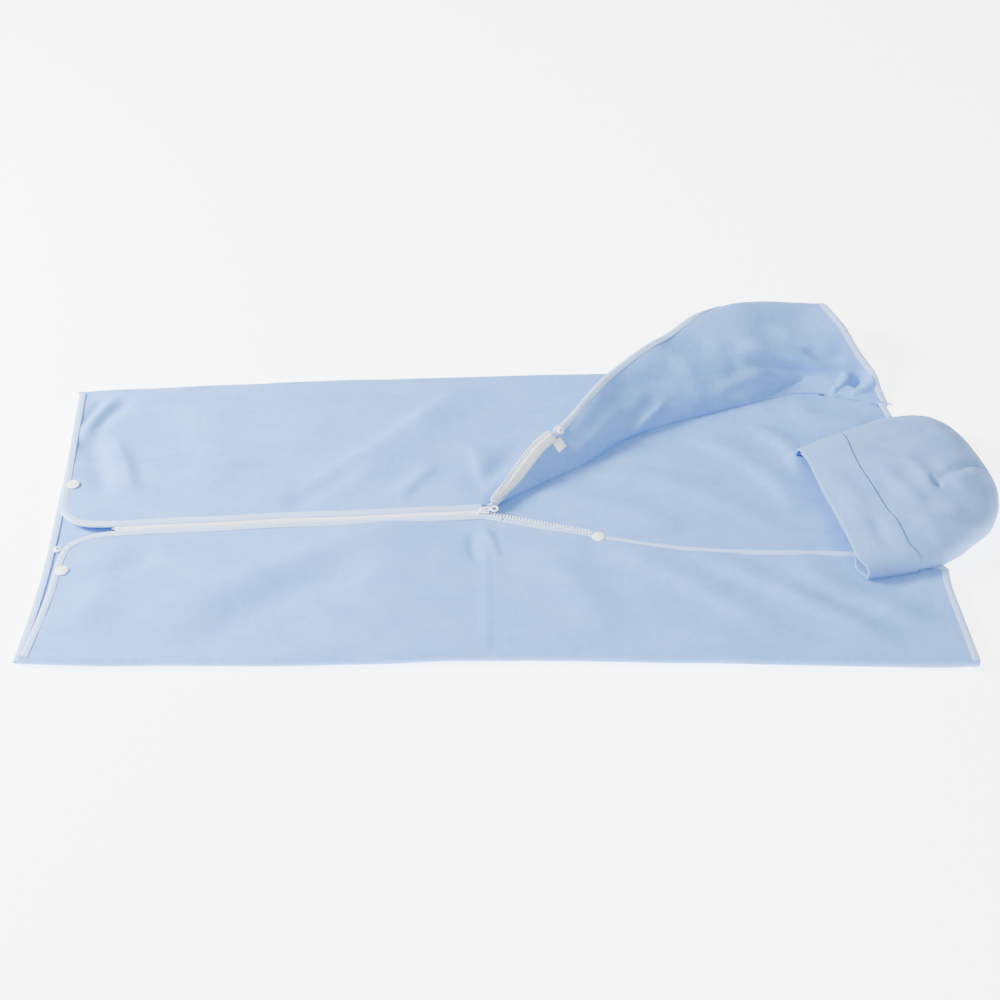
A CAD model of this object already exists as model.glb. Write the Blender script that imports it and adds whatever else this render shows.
import bpy
import numpy as np
from mathutils import Matrix, Vector


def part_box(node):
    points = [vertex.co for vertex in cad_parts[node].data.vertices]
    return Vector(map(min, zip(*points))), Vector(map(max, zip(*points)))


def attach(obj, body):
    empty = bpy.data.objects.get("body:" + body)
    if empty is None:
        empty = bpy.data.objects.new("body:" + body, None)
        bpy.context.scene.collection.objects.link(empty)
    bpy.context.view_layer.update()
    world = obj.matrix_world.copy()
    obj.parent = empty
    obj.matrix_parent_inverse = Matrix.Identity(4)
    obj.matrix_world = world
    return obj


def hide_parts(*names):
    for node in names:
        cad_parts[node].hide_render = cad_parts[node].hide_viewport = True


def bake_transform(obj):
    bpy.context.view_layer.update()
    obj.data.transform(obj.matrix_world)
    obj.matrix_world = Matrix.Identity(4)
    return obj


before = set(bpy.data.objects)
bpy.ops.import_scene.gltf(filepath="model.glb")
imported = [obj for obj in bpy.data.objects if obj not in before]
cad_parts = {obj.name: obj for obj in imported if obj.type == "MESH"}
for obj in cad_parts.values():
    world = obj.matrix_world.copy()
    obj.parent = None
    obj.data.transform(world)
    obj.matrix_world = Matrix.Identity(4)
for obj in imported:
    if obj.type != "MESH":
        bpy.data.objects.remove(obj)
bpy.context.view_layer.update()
scene = bpy.context.scene

# Sizes are in millimetres, and metres(...) turns them into scene units.
bag = {
    "cloth": 2.2,
    "binding": 8.8,
    "front": 11.4,  # height of the middle of the front cloth
    "back": 1.5,  # height of the middle of the back cloth
    "backBinding": 2.5,  # height of the middle of its bindings
}
zipSizes = {
    "slider": (-9.0, -13.4),
    "bearing": 2.5,  # degrees, from foot to head
    "openBearing": -15.2,
    "closed": 426.4,  # lengths from the slider
    "open": 128,
    "pitch": 3.8,
    "toothHeight": 2.6,
    "toothBase": 9.8,  # height of the underside of the teeth
    "rowOut": 2.85,  # zip line to the outside of a row
    "edgeGap": 3.5,  # zip line to the edge of a binding
    "tape": 15.0,
    "tapeLevel": 8.6,
}
sliderX, sliderY = zipSizes["slider"]
zipAngle = np.radians(zipSizes["bearing"])
openAngle = np.radians(zipSizes["openBearing"])
zipReach = zipSizes["closed"]
openLength = zipSizes["open"]
edgeGap = zipSizes["edgeGap"]
rowOut = zipSizes["rowOut"]
toothPitch = zipSizes["pitch"]
toothMiddle = zipSizes["toothBase"] + zipSizes["toothHeight"] / 2


def metres(values):
    return np.asarray(values, float) * 0.001


# Helpers for lines, noise and soft ridges
def spline(points, count):
    # A smooth line through the points, as count places evenly spread along its length.
    p = np.array(points, float)
    t = np.linspace(0, len(p) - 1, 40 * len(p))
    slope = np.gradient(p, axis=0)
    i = np.clip(t.astype(int), 0, len(p) - 2)
    f = (t - i)[:, None]
    line = (
        (2 * f**3 - 3 * f**2 + 1) * p[i]
        + (f**3 - 2 * f**2 + f) * slope[i]
        + (3 * f**2 - 2 * f**3) * p[i + 1]
        + (f**3 - f**2) * slope[i + 1]
    )
    return spread(line, count)


def spread(line, count):
    # The same line with places evenly spread: each coordinate read off the running length.
    line = np.asarray(line, float)
    reach = np.r_[0, np.cumsum(np.linalg.norm(np.diff(line, axis=0), axis=1))]
    at = np.linspace(0, reach[-1], count)
    return np.stack([np.interp(at, reach, line[:, k]) for k in range(line.shape[1])], -1)


def lengthOf(line):
    # The lengths of the steps, added up.
    return float(np.linalg.norm(np.diff(line, axis=0), axis=1).sum())


def unit(v):
    # Each vector divided by its own length.
    return v / np.maximum(np.linalg.norm(v, axis=-1, keepdims=True), 1e-9)


def smooth(t):
    # t squared times (3 - 2t), with t held between 0 and 1.
    t = np.clip(t, 0, 1)
    return t * t * (3 - 2 * t)


def softNoise(x, y, size, seed):
    # Smooth noise from -1 to 1 whose lumps are about size wide.
    lattice = np.random.default_rng(seed).uniform(-1, 1, (97, 97))
    u, v = np.asarray(x, float) / size, np.asarray(y, float) / size
    i, j = np.floor(u).astype(int), np.floor(v).astype(int)
    a, b = smooth(u - i), smooth(v - j)
    low = lattice[i % 97, j % 97] * (1 - a) + lattice[(i + 1) % 97, j % 97] * a
    high = lattice[i % 97, (j + 1) % 97] * (1 - a) + lattice[(i + 1) % 97, (j + 1) % 97] * a
    return low * (1 - b) + high * b


def insetLine(line, distance):
    # A plan line moved to its left.
    direction = unit(np.gradient(line, axis=0))
    return line + distance * np.stack([-direction[:, 1], direction[:, 0]], -1)


def foldHeight(x, y, folds):
    # Height of soft ridges: each has a line, a height that fades at its ends, and a width on
    # either side. Section: height times exp(-(distance / width) squared).
    total = np.zeros_like(x, float)
    for fold in folds:
        line = spline(fold["line"], 24)
        best = np.full(x.shape, 1e9)
        place = np.zeros_like(best)
        side = np.zeros_like(best)
        for k in range(len(line) - 1):
            a, d = line[k], line[k + 1] - line[k]
            t = np.clip(((x - a[0]) * d[0] + (y - a[1]) * d[1]) / (d @ d), 0, 1)
            ox, oy = x - a[0] - t * d[0], y - a[1] - t * d[1]
            distance = np.hypot(ox, oy)
            closer = distance < best
            best = np.where(closer, distance, best)
            place = np.where(closer, (k + t) / (len(line) - 1), place)
            side = np.where(closer, np.sign(d[0] * oy - d[1] * ox), side)
        left, right = fold.get("widths", (fold.get("width", 10),) * 2)
        width = np.where(side > 0, left, right)
        fade = fold.get("fade", 0.3)
        ends = smooth(place / fade) * smooth((1 - place) / fade)
        total += fold["height"] * ends * np.exp(-((best / width) ** 2))
    return total


# Helpers that make meshes
def makeMesh(name, verts, faces, material, flatUv=None, soft=True):
    mesh = bpy.data.meshes.new(name)
    verts = metres(verts)
    mesh.from_pydata(verts, [], [tuple(f) for f in faces])
    mesh.update()
    if flatUv is not None:
        layer = mesh.uv_layers.new(name="flat")
        corners = np.empty(len(mesh.loops), int)
        mesh.loops.foreach_get("vertex_index", corners)
        layer.data.foreach_set("uv", metres(flatUv)[corners].ravel().astype(np.float32))
    mesh.polygons.foreach_set("use_smooth", [soft] * len(mesh.polygons))
    made = bpy.data.objects.new(name, mesh)
    scene.collection.objects.link(made)
    mesh.materials.append(material)
    return made


def gridFaces(n, m, start=0, flip=False):
    # Quads between neighbouring rows and columns of a grid.
    i, j = np.meshgrid(np.arange(n - 1), np.arange(m - 1), indexing="ij")
    a = (start + i * m + j).ravel()
    quads = np.stack([a, a + m, a + m + 1, a + 1], -1)
    return quads[:, ::-1] if flip else quads


def normals(grid):
    # Cross product of the steps along and across the grid.
    du, dv = np.gradient(grid, axis=0), np.gradient(grid, axis=1)
    return unit(np.cross(du, dv))


def shell(name, middle, thickness, material):
    # A sheet of even thickness about a grid of places, closed round its rim.
    n, m = middle.shape[:2]
    half = normals(middle) * thickness / 2
    verts = np.concatenate([(middle + half).reshape(-1, 3), (middle - half).reshape(-1, 3)])
    low = n * m
    i, j = np.arange(n), np.arange(m)
    rim = np.r_[i * m, (n - 1) * m + j[1:], (i[:-1] * m + m - 1)[::-1], j[1:-1][::-1]]
    turn = np.roll(rim, -1)
    sides = np.stack([turn, rim, rim + low, turn + low], -1)
    faces = np.concatenate([gridFaces(n, m), gridFaces(n, m, low, flip=True), sides])
    du = np.cumsum(np.r_[np.zeros((1, m)), np.linalg.norm(np.diff(middle, axis=0), axis=2)], 0)
    dv = np.cumsum(np.c_[np.zeros((n, 1)), np.linalg.norm(np.diff(middle, axis=1), axis=2)], 1)
    flat = np.stack([du, dv], -1).reshape(-1, 2)
    return makeMesh(name, verts, faces, material, np.concatenate([flat, flat]))


def coons(bottom, top, left, right):
    # A grid of plan places between four lines that share their corners.
    n, m = len(bottom), len(left)
    u = np.linspace(0, 1, n)[:, None, None]
    v = np.linspace(0, 1, m)[None, :, None]
    ruled = (1 - v) * bottom[:, None] + v * top[:, None]
    across = (1 - u) * left[None] + u * right[None]
    corners = (
        (1 - u) * (1 - v) * bottom[0] + u * (1 - v) * bottom[-1]
        + (1 - u) * v * top[0] + u * v * top[-1]
    )
    return ruled + across - corners


def sweep(name, path, side, section, material, closed=False):
    # A section of (across, up) places carried along a line of places. side is the across
    # direction at each place.
    path, side = np.asarray(path, float), np.asarray(side, float)
    ahead = unit(np.gradient(path, axis=0))
    side = unit(side - (side * ahead).sum(-1, keepdims=True) * ahead)
    up = np.cross(ahead, side)
    section = np.asarray(section, float)
    n, m = len(path), len(section)
    verts = (
        path[:, None] + side[:, None] * section[None, :, :1] + up[:, None] * section[None, :, 1:]
    ).reshape(-1, 3)
    i, j = np.meshgrid(np.arange(n - 1), np.arange(m), indexing="ij")
    a, b = (i * m + j).ravel(), (i * m + (j + 1) % m).ravel()
    faces = np.stack([a, a + m, b + m, b], -1).tolist()
    faces += [list(range(m)), list(range((n - 1) * m, n * m))[::-1]]
    reach = np.r_[0, np.cumsum(np.linalg.norm(np.diff(path, axis=0), axis=1))]
    flat = np.stack([np.repeat(reach, m), np.tile(section[:, 0], n)], -1)
    return makeMesh(name, verts, faces, material, flat)


def roundedBlock(size, chamfer):
    # A block with its edges taken off, as verts and faces.
    half = np.array(size, float) / 2
    verts, at = [], {}
    for corner in np.ndindex(2, 2, 2):
        signs = np.array(corner) * 2 - 1
        for axis in range(3):
            at[(*corner, axis)] = len(verts)
            inner = half - chamfer
            inner[axis] = half[axis]
            verts.append(signs * inner)
    faces = []
    for axis in range(3):
        b, c = (axis + 1) % 3, (axis + 2) % 3
        for s in (0, 1):
            ring = []
            for p, q in ((0, 0), (1, 0), (1, 1), (0, 1)):
                corner = [0, 0, 0]
                corner[axis], corner[b], corner[c] = s, p, q
                ring.append(at[(*corner, axis)])
            faces.append(ring if s else ring[::-1])
        for p, q in ((0, 0), (0, 1), (1, 0), (1, 1)):
            low, high = [0, 0, 0], [0, 0, 0]
            low[b], low[c], high[b], high[c] = p, q, p, q
            high[axis] = 1
            ring = [at[(*low, b)], at[(*high, b)], at[(*high, c)], at[(*low, c)]]
            faces.append(ring if p != q else ring[::-1])
    for corner in np.ndindex(2, 2, 2):
        ring = [at[(*corner, axis)] for axis in range(3)]
        faces.append(ring if sum(corner) % 2 else ring[::-1])
    return np.array(verts), faces


def copies(name, block, places, ahead, side, material):
    # Copies of a block at places, its first axis ahead and its second to the side.
    verts, faces = block
    ahead = unit(np.asarray(ahead, float))
    side = unit(side - (side * ahead).sum(-1, keepdims=True) * ahead)
    up = np.cross(ahead, side)
    frames = np.stack([ahead, side, up], 1)
    moved = (verts[None] @ frames + np.asarray(places)[:, None]).reshape(-1, 3)
    count = len(verts)
    every = [[k * count + v for v in face] for k in range(len(places)) for face in faces]
    return makeMesh(name, moved, every, material, soft=False)


def lathe(name, profile, place, axis, material, steps=48):
    # A closed round piece: profile is (radius, height) places from the axis back to the axis,
    # or a closed ring when it doesn't touch it.
    axis = unit(np.array(axis, float))
    a = unit(np.cross(axis, [0.3, 1, 0.1]))
    b = np.cross(axis, a)
    turn = np.linspace(0, 2 * np.pi, steps, endpoint=False)
    spoke = np.cos(turn)[:, None] * a + np.sin(turn)[:, None] * b
    verts, rings = [], []
    for radius, height in profile:
        rings.append(len(verts))
        foot = np.array(place, float) + axis * height
        verts += [foot] if radius == 0 else list(foot + spoke * radius)
    faces = []
    solid = profile[0][0] == 0
    pairs = list(zip(range(len(profile) - 1), range(1, len(profile))))
    if not solid:
        pairs.append((len(profile) - 1, 0))
    for p, q in pairs:
        first, second = rings[p], rings[q]
        for k in range(steps):
            n = (k + 1) % steps
            if profile[p][0] == 0:
                faces.append((first, second + n, second + k))
            elif profile[q][0] == 0:
                faces.append((first + k, first + n, second))
            else:
                faces.append((first + k, first + n, second + n, second + k))
    return makeMesh(name, np.array(verts), faces, material)


def prism(outline, base, top):
    # An upright block on a plan outline that runs anticlockwise.
    outline = np.asarray(outline, float)
    n = len(outline)
    low = np.c_[outline, np.full(n, base)]
    high = np.c_[outline, np.full(n, top)]
    faces = [list(range(n))[::-1], list(range(n, 2 * n))]
    faces += [[k, (k + 1) % n, n + (k + 1) % n, n + k] for k in range(n)]
    return np.concatenate([low, high]), faces


def joined(blocks):
    # Several blocks as one, with their faces renumbered.
    verts, faces = [], []
    for v, f in blocks:
        start = sum(len(x) for x in verts)
        verts.append(v)
        faces += [[start + k for k in face] for face in f]
    return np.concatenate(verts), faces


def bevelled(made, width, segments=3, angle=35):
    # Edges sharper than the angle are rounded to the width.
    rounding = made.modifiers.new("rounded edges", "BEVEL")
    rounding.width = width * 0.001
    rounding.segments = segments
    rounding.limit_method = "ANGLE"
    rounding.angle_limit = np.radians(angle)
    made.data.polygons.foreach_set("use_smooth", [True] * len(made.data.polygons))
    even = made.modifiers.new("flat faces", "WEIGHTED_NORMAL")
    even.keep_sharp = True
    return made


# Materials
def colour(hexCode):
    # Linear light of an sRGB colour: ((c + 0.055) / 1.055) to the power 2.4.
    code = hexCode.lstrip("#")
    parts = [int(code[k:k + 2], 16) / 255 for k in (0, 2, 4)]
    return [c / 12.92 if c <= 0.04045 else ((c + 0.055) / 1.055) ** 2.4 for c in parts] + [1]


def addNode(tree, kind, links=None, **settings):
    node = tree.nodes.new(kind)
    for key, value in settings.items():
        setattr(node, key, value)
    for socket, value in (links or {}).items():
        if isinstance(value, bpy.types.NodeSocket):
            tree.links.new(value, node.inputs[socket])
        else:
            node.inputs[socket].default_value = value
    return node


def newMaterial(name):
    material = bpy.data.materials.new(name)
    material.use_nodes = True
    tree = material.node_tree
    tree.nodes.clear()
    output = tree.nodes.new("ShaderNodeOutputMaterial")
    shader = tree.nodes.new("ShaderNodeBsdfPrincipled")
    tree.links.new(shader.outputs[0], output.inputs[0])
    where = tree.nodes.new("ShaderNodeTexCoord")
    return material, tree, shader, where


def mix(tree, factor, first, second):
    # First colour times (1 - factor) plus second times factor.
    node = addNode(tree, "ShaderNodeMix", {0: factor, 6: first, 7: second}, data_type="RGBA")
    return node.outputs[2]


def ramp(tree, value, low, high):
    # 0 at low and 1 at high, in a straight line between.
    node = addNode(tree, "ShaderNodeMapRange", {0: value, 1: low, 2: high})
    return node.outputs[0]


def velour(name, lit, brushed, sheen):
    # Knitted polyester velour with a short brushed nap: hand marks about 60 mm wide where the
    # nap leans another way, a 7 mm mottle, and fibre tufts about 0.9 mm wide.
    material, tree, shader, where = newMaterial(name)
    coords = where.outputs["Object"]
    stretched = addNode(tree, "ShaderNodeMapping", {"Vector": coords, "Scale": (1, 1.7, 1)})
    marks = addNode(tree, "ShaderNodeTexNoise", {
        "Vector": stretched.outputs[0], "Scale": 17, "Detail": 3, "Roughness": 0.55,
        "Distortion": 0.6})
    mottle = addNode(tree, "ShaderNodeTexNoise", {
        "Vector": coords, "Scale": 150, "Detail": 3, "Roughness": 0.6})
    tufts = addNode(tree, "ShaderNodeTexNoise", {
        "Vector": coords, "Scale": 1100, "Detail": 2, "Roughness": 0.7})
    lean = ramp(tree, marks.outputs[0], 0.36, 0.66)
    speck = ramp(tree, mottle.outputs[0], 0.3, 0.7)
    both = addNode(tree, "ShaderNodeMath", {0: lean, 1: speck}, operation="ADD")
    share = addNode(tree, "ShaderNodeMath", {0: both.outputs[0], 1: 0.5}, operation="MULTIPLY")
    base = mix(tree, share.outputs[0], colour(brushed), colour(lit))
    tree.links.new(base, shader.inputs["Base Color"])
    shader.inputs["Roughness"].default_value = 0.95
    shader.inputs["Specular IOR Level"].default_value = 0.15
    shader.inputs["Sheen Weight"].default_value = sheen
    shader.inputs["Sheen Roughness"].default_value = 0.45
    shader.inputs["Sheen Tint"].default_value = colour("#e6eefb")
    coarse = addNode(tree, "ShaderNodeBump", {
        "Strength": 0.25, "Distance": 0.0006, "Height": mottle.outputs[0]})
    fine = addNode(tree, "ShaderNodeBump", {
        "Strength": 0.5, "Distance": 0.0003, "Height": tufts.outputs[0],
        "Normal": coarse.outputs[0]})
    tree.links.new(fine.outputs[0], shader.inputs["Normal"])
    return material


def biasTape():
    # Folded jersey bias tape: 0.8 mm knit ribs along it and a lockstitch line with 3 mm
    # stitches near its inner edge.
    material, tree, shader, where = newMaterial("bias tape, brushed jersey")
    uv = addNode(tree, "ShaderNodeUVMap", uv_map="flat")
    parts = addNode(tree, "ShaderNodeSeparateXYZ", {0: uv.outputs[0]})
    ribs = addNode(tree, "ShaderNodeTexWave", {
        "Vector": uv.outputs[0], "Scale": 390, "Distortion": 1.2, "Detail": 1},
        bands_direction="Y")
    fuzz = addNode(tree, "ShaderNodeTexNoise", {
        "Vector": where.outputs["Object"], "Scale": 900, "Detail": 2})
    # The stitch line is a band about 0.7 mm wide, 3.2 mm from the middle, in dashes 3 mm apart.
    away = addNode(tree, "ShaderNodeMath", {0: parts.outputs[1], 1: -0.0032}, operation="SUBTRACT")
    away = addNode(tree, "ShaderNodeMath", {0: away.outputs[0]}, operation="ABSOLUTE")
    line = addNode(tree, "ShaderNodeMapRange", {
        0: away.outputs[0], 1: 0.0002, 2: 0.0005, 3: 1.0, 4: 0.0})
    dash = addNode(tree, "ShaderNodeMath", {0: parts.outputs[0], 1: 2094.4}, operation="MULTIPLY")
    dash = addNode(tree, "ShaderNodeMath", {0: dash.outputs[0]}, operation="SINE")
    dash = addNode(tree, "ShaderNodeMapRange", {0: dash.outputs[0], 1: -0.6, 2: -0.2})
    stitch = addNode(tree, "ShaderNodeMath", {0: line.outputs[0], 1: dash.outputs[0]},
                     operation="MULTIPLY")
    base = mix(tree, fuzz.outputs[0], colour("#a4c5f6"), colour("#b4d0fa"))
    base = mix(tree, stitch.outputs[0], base, colour("#c6dcfb"))
    tree.links.new(base, shader.inputs["Base Color"])
    shader.inputs["Roughness"].default_value = 0.85
    shader.inputs["Specular IOR Level"].default_value = 0.2
    shader.inputs["Sheen Weight"].default_value = 0.2
    shader.inputs["Sheen Roughness"].default_value = 0.4
    sunk = addNode(tree, "ShaderNodeBump", {
        "Strength": 0.6, "Distance": 0.0004, "Height": line.outputs[0]}, invert=True)
    ribbed = addNode(tree, "ShaderNodeBump", {
        "Strength": 0.25, "Distance": 0.0003, "Height": ribs.outputs[0],
        "Normal": sunk.outputs[0]})
    tree.links.new(ribbed.outputs[0], shader.inputs["Normal"])
    return material


def zipTape():
    # Woven polyester zip tape: a 1.2 mm herringbone.
    material, tree, shader, _ = newMaterial("zip tape, woven polyester")
    uv = addNode(tree, "ShaderNodeUVMap", uv_map="flat")
    weave = addNode(tree, "ShaderNodeTexWave", {
        "Vector": uv.outputs[0], "Scale": 260, "Distortion": 4, "Detail": 0,
        "Detail Scale": 2}, bands_direction="DIAGONAL")
    base = mix(tree, weave.outputs[0], colour("#dfe6f0"), colour("#f2f5fa"))
    tree.links.new(base, shader.inputs["Base Color"])
    shader.inputs["Roughness"].default_value = 0.8
    shader.inputs["Specular IOR Level"].default_value = 0.25
    raised = addNode(tree, "ShaderNodeBump", {
        "Strength": 0.4, "Distance": 0.0003, "Height": weave.outputs[0]})
    tree.links.new(raised.outputs[0], shader.inputs["Normal"])
    return material


def acetal(name, tone, roughness):
    # Injection-moulded acetal: smooth, with a faint 3 mm flow unevenness.
    material, tree, shader, where = newMaterial(name)
    flow = addNode(tree, "ShaderNodeTexNoise", {
        "Vector": where.outputs["Object"], "Scale": 330, "Detail": 2})
    base = mix(tree, flow.outputs[0], colour(tone), colour("#ffffff"))
    tree.links.new(base, shader.inputs["Base Color"])
    uneven = addNode(tree, "ShaderNodeMapRange", {
        0: flow.outputs[0], 1: 0.0, 2: 1.0, 3: roughness - 0.06, 4: roughness + 0.06})
    tree.links.new(uneven.outputs[0], shader.inputs["Roughness"])
    shader.inputs["IOR"].default_value = 1.48
    shader.inputs["Subsurface Weight"].default_value = 0.08
    shader.inputs["Subsurface Radius"].default_value = (0.001, 0.001, 0.001)
    waves = addNode(tree, "ShaderNodeBump", {
        "Strength": 0.05, "Distance": 0.0003, "Height": flow.outputs[0]})
    tree.links.new(waves.outputs[0], shader.inputs["Normal"])
    return material


def satin():
    # Woven satin care label: fine 0.5 mm threads.
    material, tree, shader, _ = newMaterial("care label, woven satin")
    uv = addNode(tree, "ShaderNodeUVMap", uv_map="flat")
    threads = addNode(tree, "ShaderNodeTexWave", {
        "Vector": uv.outputs[0], "Scale": 620, "Distortion": 0.5}, bands_direction="X")
    base = mix(tree, threads.outputs[0], colour("#e9eef6"), colour("#f8fafd"))
    tree.links.new(base, shader.inputs["Base Color"])
    shader.inputs["Roughness"].default_value = 0.5
    raised = addNode(tree, "ShaderNodeBump", {
        "Strength": 0.2, "Distance": 0.0002, "Height": threads.outputs[0]})
    tree.links.new(raised.outputs[0], shader.inputs["Normal"])
    return material


outerCloth = velour("velour, brushed outer face", "#7facec", "#6c9be0", 0.12)
innerCloth = velour("velour, brushed inner face", "#7eabec", "#6999e0", 0.12)
capCloth = velour("cap velour", "#83a9e0", "#7299d4", 0.12)
binding = biasTape()
tapeCloth = zipTape()
zipPlastic = acetal("moulded acetal zip", "#eef2fa", 0.4)
studPlastic = acetal("moulded acetal press stud", "#f2f6fc", 0.3)
labelCloth = satin()
print("materials made")

# Lines of the bag in plan
farSide = spline([
    (-524, 216), (-434, 222), (-242, 231), (-48, 237), (148, 240), (300, 241), (400, 236),
    (465, 218), (508, 186)], 400)
nearSide = spline([
    (-517, -227), (-428, -231), (-213, -236), (4, -234), (221, -242), (383, -250), (480, -254),
    (524, -253)], 400)


def along(angle, reach, offset=0.0):
    # A reach from the slider on a bearing, and an offset to its left.
    reach = np.asarray(reach, float)
    return np.stack([
        sliderX + reach * np.cos(angle) - offset * np.sin(angle),
        sliderY + reach * np.sin(angle) + offset * np.cos(angle)], -1)


def zipLine(reach, offset):
    # The closed zip wavers by about a millimetre.
    reach = np.asarray(reach, float)
    waver = 1.1 * np.sin(reach / 31.0) * np.sin(reach / 83.0 + 1.0) * smooth(-reach / 60)
    return along(zipAngle, reach, offset + waver)


footTurn = -zipReach - 2
farZipEdge = zipLine(np.linspace(footTurn, -1, 90), edgeGap)
nearZipEdge = zipLine(np.linspace(footTurn, -1, 90), -edgeGap)
nearOpenEdge = spline([
    along(openAngle, 6, -edgeGap), along(openAngle, 60, -edgeGap), along(openAngle, 139.6, -edgeGap),
    (183, -67), (240, -76), (297, -81), (407, -85.5), (470, -95), (522, -112)], 120)
farFootEdge = spline([
    (-522, 209), (-517, 106), (-513, 40), (-511, 5), (-504.5, -10), (-492, -22), (-477, -27.5),
    (-455, -29.2), (-437, -29)], 160)
nearFootEdge = spline([
    (-514, -222), (-508, -184), (-502, -135), (-500.5, -97), (-497, -68), (-487, -52), (-468, -41.5),
    (-450, -37.2), (-437, -36)], 160)
nearHeadEdge = spline([(522, -112), (519.5, -140), (520.5, -171), (524.5, -250)], 60)
backFootEdge = spline([
    (-522, 211), (-519.5, 120), (-517.5, 20), (-516, -45), (-516, -102), (-519, -164), (-524, -222)], 160)
backHeadEdge = spline([(524.5, -250), (521, -171), (518, -100), (518, 0), (518.6, 100), (517, 150),
                       (511, 182)], 160)
inset = bag["binding"] / 2

# Folds pressed into each cloth: lines in plan, with heights and widths
farFolds = [
    dict(line=[(-500, 150), (-488, 110), (-470, 60), (-455, 10)], height=-5.4, widths=(12, 16)),
    dict(line=[(-470, 130), (-446, 80), (-425, 14)], height=4.7, widths=(10, 22)),
    dict(line=[(-507, 112), (-494, 162), (-470, 204)], height=4.9, widths=(7, 10)),
    dict(line=[(-494, 130), (-478, 168), (-450, 205)], height=-3.5, width=9),
    dict(line=[(-509, 144), (-499, 176), (-488, 203)], height=-3.2, width=6),
    dict(line=[(-14, 222), (-70, 165), (-129, 105), (-200, 45), (-238, 4)], height=6.2, widths=(34, 14)),
    dict(line=[(-150, 62), (-200, 30), (-250, -4)], height=-3.5, width=14),
    dict(line=[(-60, 70), (-90, 40), (-115, 3)], height=3.5, widths=(8, 14)),
    dict(line=[(-390, 205), (-340, 110), (-310, 10)], height=4.1, width=38),
    dict(line=[(-24, 110), (-12, 60), (-4, 12)], height=3.4, widths=(18, 8)),
    dict(line=[(-30, 12), (10, 60), (50, 110)], height=-4.6, width=14),
]
nearFolds = [
    dict(line=[(-30, -36), (-150, -60), (-290, -120), (-420, -190)], height=6.8, widths=(40, 22)),
    dict(line=[(-100, -60), (-230, -130), (-350, -215)], height=-4.9, width=26),
    dict(line=[(-460, -50), (-440, -120), (-470, -205)], height=4.1, width=26),
    dict(line=[(-380, -60), (-430, -100), (-480, -110)], height=-3.2, width=18),
    dict(line=[(-7, -25), (-8, -137), (-10, -238)], height=1.0, widths=(4, 9), fade=0.1),
    dict(line=[(-8, -38), (0, -62), (7, -96)], height=2.4, widths=(4, 7)),
    dict(line=[(-22, -40), (-24, -70), (-18, -100)], height=-2.4, width=7),
    dict(line=[(110, -62), (200, -120), (330, -215)], height=5.9, widths=(24, 14)),
    dict(line=[(215, -84), (300, -130), (450, -232)], height=5.7, widths=(20, 12)),
    dict(line=[(330, -100), (400, -150), (490, -200)], height=5.1, widths=(20, 12)),
    dict(line=[(502, -118), (440, -146), (330, -160)], height=-3.5, width=15),
    dict(line=[(40, -60), (90, -130), (130, -225)], height=4.1, width=26),
]
backFolds = [
    dict(line=[(120, 70), (210, 40), (300, -10), (350, -50)], height=4.9, widths=(22, 12)),
    dict(line=[(230, 130), (300, 90), (350, 30), (370, -30)], height=4.9, widths=(24, 12)),
    dict(line=[(40, 20), (130, 5), (240, -45)], height=3.5, width=18),
    dict(line=[(320, 150), (370, 100), (380, 40)], height=4.6, widths=(16, 9)),
    dict(line=[(380, 186), (420, 150), (500, 140)], height=4.1, width=14),
]


def clothHeight(x, y, base, folds, seed):
    # A level, plus broad, middle and fine noise, plus the folds.
    broad = 1.8 * softNoise(x, y, 120, seed) + 0.8 * softNoise(x, y, 45, seed + 1)
    return base + broad + 0.16 * softNoise(x, y, 14, seed + 2) + foldHeight(x, y, folds)


def frontCloth(name, sideLine, edge, foot, head, side, folds, seed, columns, rows, levelOf=None):
    # One front cloth: side line to zip edge, with its side fold added. side is +1 for the far
    # side and -1 for the near one.
    radius = (bag["front"] - bag["back"]) / 2
    slope = unit(np.gradient(sideLine, axis=0))
    outward = side * np.stack([-slope[:, 1], slope[:, 0]], -1)
    ragged = 0.9 * softNoise(sideLine[:, 0], 0 * sideLine[:, 0] + seed, 60, seed + 7)
    sideLine = sideLine + outward * (ragged - bag["cloth"] / 2 - 0.3)[:, None]
    flatSide = sideLine - outward * radius
    flatSide = spread(flatSide, columns)
    outward = unit(spread(outward, columns))
    foot = foot[side * (flatSide[0, 1] - foot[:, 1]) > 2]
    head = head[side * (flatSide[-1, 1] - head[:, 1]) > 2]
    foot = spread(np.r_[flatSide[:1], foot], rows)
    head = spread(np.r_[flatSide[-1:], head], rows)
    plan = coons(flatSide, spread(edge, columns), foot, head)
    height = clothHeight(plan[..., 0], plan[..., 1], bag["front"], folds, seed)
    # the cloth keeps its level at the bound edges and at the side fold
    v = np.linspace(0, 1, rows)[None]
    u = np.linspace(0, 1, columns)[:, None]
    hold = smooth(v / 0.06) * smooth((1 - v) / 0.05) * smooth(u / 0.015) * smooth((1 - u) / 0.015)
    height = bag["front"] + (height - bag["front"]) * (0.25 + 0.75 * hold)
    if levelOf is not None:
        height = levelOf(plan, height)
    sheet = np.concatenate([plan, height[..., None]], -1)
    turnRows = []
    for angle in np.radians(np.linspace(90, -90, 11))[1:]:
        place = flatSide + outward * radius * np.cos(angle)
        share = (1 + np.sin(angle)) / 2
        middle = bag["back"] + radius + radius * np.sin(angle) + (sheet[:, 0, 2] - bag["front"]) * share
        turnRows.append(np.c_[place, middle])
    for step in (4, 9):
        turnRows.append(np.c_[flatSide - outward * step, np.full(columns, bag["back"])])
    under = np.stack(turnRows[::-1], 1)
    middle = np.concatenate([under, sheet], 1)
    if side > 0:
        middle = middle[::-1]
    made = shell(name, middle, bag["cloth"], outerCloth)
    return made


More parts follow.
